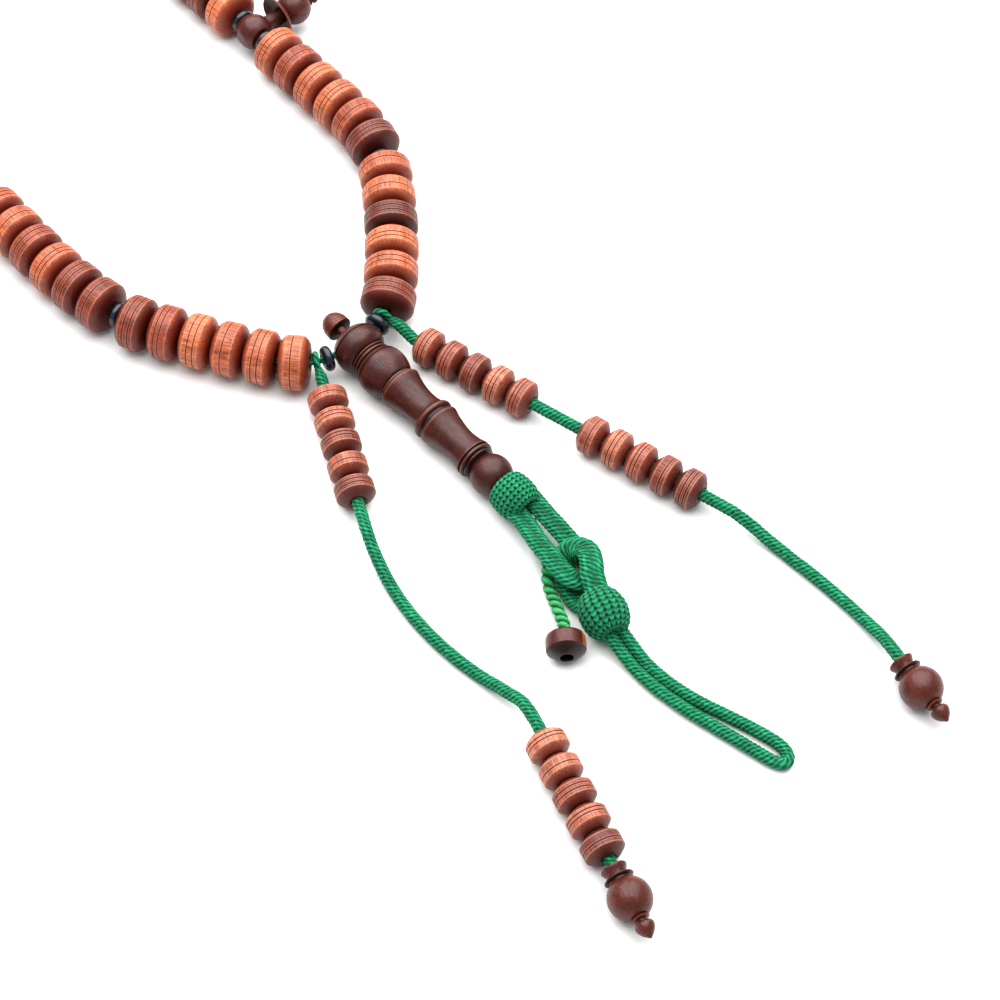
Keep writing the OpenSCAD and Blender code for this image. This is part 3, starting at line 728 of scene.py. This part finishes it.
def crochet_ball(name, outline, rows, stitches_round, holes, lines, depth=0.42):
    """Works stitches over a turned form: outline is (radius, height) from end to end."""
    fine = []
    for a, b in zip(outline, outline[1:]):
        parts = max(1, round(math.dist(a, b) / 0.11))
        fine += [(a[0] + (b[0] - a[0]) * i / parts, a[1] + (b[1] - a[1]) * i / parts)
                 for i in range(parts)]
    fine.append(outline[-1])
    # Round off the corners of the form by averaging along it
    for _ in range(14):
        fine = [fine[0]] + [((a[0] + 2 * b[0] + c[0]) / 4, (a[1] + 2 * b[1] + c[1]) / 4)
                            for a, b, c in zip(fine, fine[1:], fine[2:])] + [fine[-1]]
    total = sum(math.dist(a, b) for a, b in zip(fine, fine[1:]))
    around = stitches_round * 9
    points, faces, relief, gone = [], [], [], 0.0
    for i, (r, z) in enumerate(fine):
        if i:
            gone += math.dist(fine[i - 1], fine[i])
        a, b = fine[max(i - 1, 0)], fine[min(i + 1, len(fine) - 1)]
        long = math.dist(a, b)
        out_r, out_z = (b[1] - a[1]) / long, -(b[0] - a[0]) / long
        for k in range(around):
            turn = k / around
            height = crochet_v(rows * gone / total, stitches_round * turn, holes, lines)
            sunk = depth * (1 - height) * min(1.0, r / 1.5)
            angle = 2 * math.pi * turn
            radial = r - out_r * sunk
            points.append((radial * MM * math.cos(angle), radial * MM * math.sin(angle),
                           (z - out_z * sunk) * MM))
            relief.append(height)
    for i in range(len(fine) - 1):
        for k in range(around):
            n = (k + 1) % around
            a, b = i * around, (i + 1) * around
            faces.append((a + k, a + n, b + n, b + k))
    faces.append([k for k in reversed(range(around))])
    faces.append([(len(fine) - 1) * around + k for k in range(around)])
    return mesh_piece(name, points, faces, relief)


upper_ball = crochet_ball(
    "upper_crochet_ball_worked",
    [(2.4, -2.8), (3.5, -3.5), (4.1, -3.6), (4.55, -2.9), (4.85, -1.5), (4.9, 0.2), (4.75, 1.8),
     (4.25, 3.2), (3.5, 4.2), (2.6, 4.6), (1.9, 4.3), (1.5, 3.4), (0.4, 3.2)], 12, 23, 0.5, 0.3)
upper_ball.data.transform(lying(-0.2, -49.9, 5.0, -90))
lower_ball = crochet_ball(
    "lower_crochet_ball_worked",
    [(0.4, -4.6), (1.6, -5.2), (2.6, -5.3), (3.9, -4.3), (4.8, -2.7), (5.2, -0.8), (5.2, 1.0),
     (4.8, 2.8), (3.9, 4.3), (2.7, 5.3), (1.6, 5.2), (0.4, 4.6)], 14, 19, 0.2, 0.5)
lower_ball.data.transform(lying(-5.8, -83.1, 5.3, -109))
for ball, node, body in ((upper_ball, "upper_crochet_ball", "tassel"),
                         (lower_ball, "lower_crochet_ball", "tassel_end")):
    ball.data.materials.append(green_thread)
    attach(ball, body)
    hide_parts(node)

# ---------------------------------------------------------------------------
# Toggle. A strand of brighter yellow-green thread, wound from two lobes, comes
# from under the loops. A flat turned bead on its end, reddish brown with a
# streak of pale sapwood, can be pushed through the loop to close it.
# ---------------------------------------------------------------------------
TOGGLE_CORD_RADIUS = 1.35
SAPWOOD_AT = 117
SAPWOOD_HALF_WIDTH = 9
TOGGLE_PLACE = (-16.2, -83.3, 4.12, -128)
toggle_route = [
    (-0.5, -55.2, 2.3), (-1.5, -58.5, 1.5), (-2.9, -62, 1.4), (-4.6, -65, 1.4),
    (-6.9, -67.5, 1.45), (-8.7, -70.3, 1.6), (-10.0, -73.3, 2.0), (-11.5, -76.3, 2.8),
    (-13.1, -79.4, 3.8), (-15.4, -82.3, 4.15),
]
# Its darkest colour is painted shade in the gaps, its palest a painted highlight on the stitches
bright_thread = crochet_thread("bright_green_thread", "#083317", "#1A733E", "#48A468")
path = smooth_path(toggle_route, 0.14)
toggle_cord = crocheted_cord("toggle_cord_chain", path, TOGGLE_CORD_RADIUS, depth=0.6, sides=36,
                             lobes=2)
toggle_cord.data.materials.append(bright_thread)
# Painted shade darkens the bore and the crisp edge; the light rim is wear with a painted highlight
toggle_bead = turn_piece("toggle_bead_pattern", [
    (1.3, -2.7, 0.8), (1.6, -2.85, 0.3), (2.6, -2.8, 0), (3.4, -2.6, 0), (3.85, -2.3, 0),
    (4.05, -1.9, 0), (4.12, -1.2, 0), (4.12, 0.0, 0), (4.1, 0.75, 0), (4.06, 0.92, -0.2),
    (3.95, 1.0, 0.5), (3.8, 1.1, 0.3, 0.6), (3.2, 1.6, 0.1, 1), (2.4, 2.15, 0.1, 1),
    (1.7, 2.55, 0.3, 1), (1.4, 2.62, 0.8, 1), (1.3, 2.3, 1.0), (1.3, 0, 1.0),
    (1.3, -2.7, 0.8)], 56)
toggle_wood = oiled_hardwood("polished_toggle_wood", ("#C87638", "#55241D", "#2A0D0B"),
                             end="#707070", groove_shade="#0E0404", edge="#7E4434", streak=0.7,
                             gloss=0.36)
toggle = copy_piece(toggle_bead, "toggle_bead_turned", lying(*TOGGLE_PLACE), 0.56, 300)
bpy.data.objects.remove(toggle_bead)
# A strip of pale sapwood runs down the side but not the domed end
unturned = lying(*TOGGLE_PLACE).inverted()
for vertex, tone in zip(toggle.data.vertices, toggle.data.attributes["tone"].data):
    place = unturned @ vertex.co
    round_axis = math.degrees(math.atan2(place.y, place.x))
    if abs(round_axis - SAPWOOD_AT) < SAPWOOD_HALF_WIDTH and place.z < MM:
        tone.value = 0.1
toggle.data.materials.append(toggle_wood)
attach(toggle, "toggle")
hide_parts("toggle_bead")
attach(toggle_cord, "toggle_strand")
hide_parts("toggle_cord")

# ---------------------------------------------------------------------------
# Spacer discs. They are small round-edged discs, polished glossy blue-black,
# threaded beside the leader bead, between groups and beside each marker.
# ---------------------------------------------------------------------------
disc_pattern = turn_piece("disc_pattern", [
    (0.95, 0.85), (1.1, 1.0), (1.5, 1.05), (1.9, 1.03), (2.3, 0.93), (2.62, 0.72), (2.82, 0.4),
    (2.9, 0.0), (2.82, -0.4), (2.62, -0.72), (2.3, -0.93), (1.9, -1.03), (1.5, -1.05),
    (1.1, -1.0), (0.95, -0.85), (0.95, 0.85)], 48)
black_resin = bpy.data.materials.new("polished_black_resin")
black_resin.use_nodes = True
shader = black_resin.node_tree.nodes["Principled BSDF"]
place = add_node(black_resin, "TexCoord")
# Faint polishing clouds a few millimetres wide
clouds = add_node(black_resin, "TexNoise", {"Vector": place.outputs["Object"], "Scale": 420.0,
                                         "Detail": 3.0})
tint = add_node(black_resin, "Mix", {0: clouds.outputs["Fac"], 6: linear("#0B0D14"),
                                  7: linear("#1A2030")}, data_type="RGBA")
worn = add_node(black_resin, "MapRange", {"Value": clouds.outputs["Fac"], "To Min": 0.22,
                                       "To Max": 0.34})
black_resin.node_tree.links.new(tint.outputs[2], shader.inputs["Base Color"])
black_resin.node_tree.links.new(worn.outputs[0], shader.inputs["Roughness"])
shader.inputs["Coat Weight"].default_value = 0.15
disc_places = [("head_disc_right", 1, HEAD_DISC_AT), ("head_disc_left", -1, HEAD_DISC_AT)]
disc_places += [("spacer_discs", side, distance) for side in (1, -1) for distance in discs]
disc_places += [("spacer_discs", 1, middle_right - MARKER_STEP / 2 - DISC_STEP / 2),
                ("spacer_discs", -1, middle_left - MARKER_STEP / 2 - DISC_STEP / 2)]
for number, (node, side, distance) in enumerate(disc_places):
    x, y, heading = on_string(side, distance)
    disc = copy_piece(disc_pattern, "black_disc_%02d" % (number + 1),
                      lying(x, y, STRING_Z, heading, number), 0.5, number)
    disc.data.materials.append(black_resin)
    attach(disc, "string")
    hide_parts(node)
bpy.data.objects.remove(disc_pattern)

# ---------------------------------------------------------------------------
# Markers. Each divides the loop: a barrel bored across for the string, with a
# dished flange, a ball and an acorn tip turned on one axis and pointing out.
# The barrel's two sides are sawn flat where the discs sit.
# ---------------------------------------------------------------------------
def cut_away(piece, tool):
    """Takes the shape of a tool out of a piece, then removes the tool."""
    cut = piece.modifiers.new("cut", "BOOLEAN")
    cut.operation = "DIFFERENCE"
    cut.object = tool
    cut.solver = "EXACT"
    bpy.ops.object.select_all(action="DESELECT")
    piece.select_set(True)
    bpy.context.view_layer.objects.active = piece
    bpy.ops.object.modifier_apply(modifier=cut.name)
    bpy.data.objects.remove(tool)


# Painted shade darkens the neck, the dished flange and the bore; the light flange rim is wear with a
# painted highlight
marker_top = (
    [(1.9, 3.75, 0.5), (1.85, 4.4, 0.3), (1.8, 5.6, 0.3), (1.85, 7.2, 0.5), (1.95, 7.85, 0.7),
     (2.6, 7.9, 0.4), (3.4, 7.68, 0.1), (4.4, 7.22, 0), (5.0, 6.8, 0), (5.12, 6.78, -0.6),
     (5.22, 6.88, -0.6), (5.18, 7.05, 0), (4.7, 7.62, 0), (4.0, 8.1, 0), (3.2, 8.4, 0.1),
     (2.5, 8.55, 0.6)]
    + [(r, z, 0.3 if i == 0 else 0) for i, (r, z) in enumerate(arc(4.1, -57, 67, 20, 12.0))]
    + [(1.5, 15.82, 0.7), (1.6, 15.9, 0.4), (1.78, 16.0, -0.3), (1.84, 16.14, -0.4),
       (1.7, 16.3, 0), (1.15, 16.5, 0.3), (1.0, 16.7, 0.5), (1.25, 16.9, 0.3), (1.75, 17.2, 0),
       (1.85, 17.6, 0), (1.6, 18.15, 0), (1.15, 18.7, 0), (0.6, 19.1, 0), (0, 19.28, 0)]
)
marker_pattern = turn_piece("marker_pattern", (
    [(0, -3.9, 0.3), (1.2, -3.95, 0.2)] + [(r, z, 0) for r, z in arc(4.2, -68, 58, 22)]
    + marker_top), 56)
for flat in (3.0, -3.0):
    # Saw one side of the barrel flat, as far up as its neck
    bpy.ops.mesh.primitive_cube_add(size=1)
    saw = bpy.context.object
    saw.data.transform(Matrix.Translation((0, flat * 2 * MM, -0.4 * MM))
                       @ Matrix.Diagonal((0.02, 0.006, 0.0105, 1)))
    cut_away(marker_pattern, saw)
bpy.ops.mesh.primitive_cylinder_add(vertices=40, radius=1.2 * MM, depth=0.02,
                                    rotation=(math.pi / 2, 0, 0))
bpy.ops.object.transform_apply(location=True, rotation=True, scale=True)
cut_away(marker_pattern, bpy.context.object)
bpy.ops.object.shade_smooth_by_angle(angle=math.radians(40))
marker_places = [("right_marker_1", 1, markers[0]), ("right_marker_2", 1, markers[1]),
                 ("left_marker_1", -1, markers[0]), ("left_marker_2", -1, markers[1]),
                 ("middle_marker", 1, middle_right)]
for number, (name, side, distance) in enumerate(marker_places):
    x, y, heading = on_string(side, distance)
    marker = copy_piece(marker_pattern, name + "_turned",
                        lying(x, y, STRING_Z, heading - side * 90), 0.35, 320 + number)
    marker.data.materials.append(finial_wood)
    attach(marker, name)
    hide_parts(name)
bpy.data.objects.remove(marker_pattern)

# ---------------------------------------------------------------------------
# Leader bead. It is one dark red-brown piece, 52 mm long, turned with a round
# head and two bulges, two waists between sharp rings, and a ball end. An acorn
# knob with a peg plugs its bore at the head. The finish is satin.
# ---------------------------------------------------------------------------
# Painted shade darkens the bore and the ring grooves; the light ring edges are wear with a painted
# highlight
leader_outline = (
    [(1.1, 47.2, 1), (1.1, -4.4, 1), (1.6, -4.45, 0.5), (2.6, -4.42, 0.1), (2.75, -4.25, 0),
     (3.6, -4.0, 0), (4.35, -3.45, 0), (4.9, -2.85, 0), (5.25, -2.3, -0.2), (5.36, -2.05, 0.3),
     (5.2, -1.93, 1), (5.2, -1.87, 1), (5.42, -1.75, 0.3), (5.6, -1.1, -0.1), (5.72, -0.4, 0),
     (5.75, 0.1, 0), (5.66, 0.8, 0), (5.4, 1.45, 0), (5.0, 2.0, 0), (4.5, 2.42, 0.1),
     (4.15, 2.6, 0.5), (4.0, 2.72, 0.9), (4.05, 2.82, 0.9), (4.4, 2.92, 0.1), (4.48, 3.05, -0.45),
     (4.45, 3.25, 0), (4.1, 3.42, 0.8), (4.1, 3.52, 0.8), (4.45, 3.72, 0.1), (4.55, 3.95, -0.45),
     (4.5, 4.2, 0.1), (4.25, 4.38, 0.8), (4.28, 4.46, 0.7), (4.7, 4.8, 0.1), (5.05, 5.25, -0.25),
     (5.28, 5.75, 0.3), (5.15, 5.87, 1), (5.15, 5.93, 1), (5.38, 6.05, 0.3), (5.56, 6.7, -0.1),
     (5.65, 7.5, 0), (5.64, 8.4, 0), (5.5, 9.3, 0), (5.22, 10.2, 0), (4.85, 11.1, 0),
     (4.55, 11.7, 0.1), (4.35, 12.02, 0.4), (4.12, 12.16, 0.9), (4.14, 12.26, 0.9),
     (4.45, 12.38, 0.1), (4.52, 12.6, -0.45), (4.5, 12.85, 0.1), (4.28, 13.0, 0.8), (4.4, 13.1, 0.6),
     (4.95, 13.22, 0), (5.02, 13.4, -0.6), (4.92, 13.9, 0), (4.62, 14.7, 0), (4.3, 15.8, 0),
     (4.02, 17.1, 0), (3.84, 18.5, 0), (3.76, 19.9, 0), (3.84, 21.2, 0), (4.05, 22.4, 0),
     (4.35, 23.2, 0.1), (4.55, 23.45, 0.4), (4.78, 23.6, 0), (4.9, 24.0, -0.5), (4.85, 24.4, 0),
     (4.62, 24.65, 0.3), (4.28, 24.85, 0.9), (4.25, 25.15, 0.9), (4.28, 25.4, 0.9),
     (4.65, 25.55, 0.2), (4.85, 25.85, 0), (4.86, 26.2, -0.5), (4.72, 26.55, 0), (4.5, 27.2, 0),
     (4.22, 28.4, 0), (3.95, 29.8, 0), (3.74, 31.2, 0), (3.65, 32.6, 0), (3.72, 34.0, 0),
     (3.95, 35.4, 0), (4.22, 36.4, 0), (4.36, 36.85, -0.3), (4.3, 37.0, 0.3), (3.88, 37.12, 1),
     (3.86, 37.3, 1), (4.25, 37.42, 0.2), (4.36, 37.65, -0.45), (4.3, 37.95, 0.1), (4.05, 38.1, 0.4),
     (3.65, 38.25, 0.9), (3.65, 38.35, 0.9), (3.88, 38.5, 0.2), (3.9, 38.75, 0.2),
     (3.45, 39.0, 0.9)]
    + [(r, z, 0.4 if i == 0 else 0) for i, (r, z) in enumerate(arc(4.6, -51, 74, 24, 42.8))]
    + [(1.1, 47.2, 1)]
)
leader_pattern = turn_piece("leader_pattern", leader_outline, 88)
leader_wood = oiled_hardwood("satin_leader_bead_wood", ("#62291C", "#3D1610", "#230C0A"),
                             end="#C0B0B0", groove_shade="#0B0302", edge="#7E4632", streak=0.9,
                             gloss=0.38)
tilt = math.radians(1.74)
leader_place = (Matrix.Translation(spot(0, 0.3, 5.9)) @ Matrix.Rotation(math.pi / 2 + tilt, 4, "X"))
leader = copy_piece(leader_pattern, "leader_bead_turned", leader_place, 0.45, 340)
bpy.data.objects.remove(leader_pattern)
bpy.ops.mesh.primitive_cylinder_add(vertices=32, radius=1.05 * MM, depth=0.02,
                                    rotation=(0, math.pi / 2, 0), location=crossing)
bpy.ops.object.transform_apply(location=True, rotation=True, scale=True)
cut_away(leader, bpy.context.object)
bpy.ops.object.shade_smooth_by_angle(angle=math.radians(40))
# Painted shade darkens the knob's peg and the collar where it meets the head
knob_pattern = turn_piece("knob_pattern", (
    [(0, -3.6, 1), (1.05, -3.65, 1), (1.08, -4.3, 0.8), (1.3, -4.5, 0.5), (1.2, -5.2, 0.1),
     (1.18, -6.0, 0.2), (1.3, -6.55, 0.8), (2.0, -6.62, 0.9), (2.7, -6.7, 0.8), (2.92, -6.8, 0.2),
     (3.0, -7.0, 0)]
    + [(2.97 * math.cos(math.radians(a)), -7.9 - 3.4 * math.sin(math.radians(a)), 0)
       for a in range(-8, 88, 8)] + [(0, -11.28, 0)]), 48)
knob = copy_piece(knob_pattern, "leader_knob_turned", leader_place, 0.15, 350)
bpy.data.objects.remove(knob_pattern)
for piece, node in ((leader, "leader_bead"), (knob, "leader_knob")):
    piece.data.materials.clear()
    piece.data.materials.append(leader_wood)
    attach(piece, "leader")
    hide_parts(node)

# The core cord inside the leader bead's bore holds the upper crochet ball on
core = frame["nodes"]["leader_core_cord"]
core.data.materials.clear()
core.data.materials.append(green_thread)

# ---------------------------------------------------------------------------
# The table: a plain white sheet under soft light from a large panel above and
# behind the beads, with white walls all round.
# ---------------------------------------------------------------------------
bpy.ops.object.select_all(action="DESELECT")
bpy.ops.mesh.primitive_plane_add(size=8, location=(0, 0, 0))
table = bpy.context.object
table.name = "table"
paper = bpy.data.materials.new("matt_white_paper")
paper.use_nodes = True
paper.node_tree.nodes["Principled BSDF"].inputs["Base Color"].default_value = linear("#E2E2E2")
paper.node_tree.nodes["Principled BSDF"].inputs["Roughness"].default_value = 0.9
paper.node_tree.nodes["Principled BSDF"].inputs["Specular IOR Level"].default_value = 0.1
table.data.materials.append(paper)

world = bpy.data.worlds.new("white_room")
bpy.context.scene.world = world
world.use_nodes = True
world.node_tree.nodes["Background"].inputs["Color"].default_value = (1, 1, 1, 1)
world.node_tree.nodes["Background"].inputs["Strength"].default_value = 0.55


def panel_light(name, size, power, place, target):
    light = bpy.data.lights.new(name, "AREA")
    light.shape = "SQUARE"
    light.size = size
    light.energy = power
    lamp = bpy.data.objects.new(name, light)
    bpy.context.scene.collection.objects.link(lamp)
    lamp.location = place
    lamp.rotation_euler = (target - place).to_track_quat("-Z", "Y").to_euler()


panel_light("overhead_panel", 1.7, 36, spot(220, 260, 900), spot(0, -30, 0))
bpy.context.scene.view_settings.view_transform = "Standard"
bpy.context.scene.view_settings.look = "Medium High Contrast"
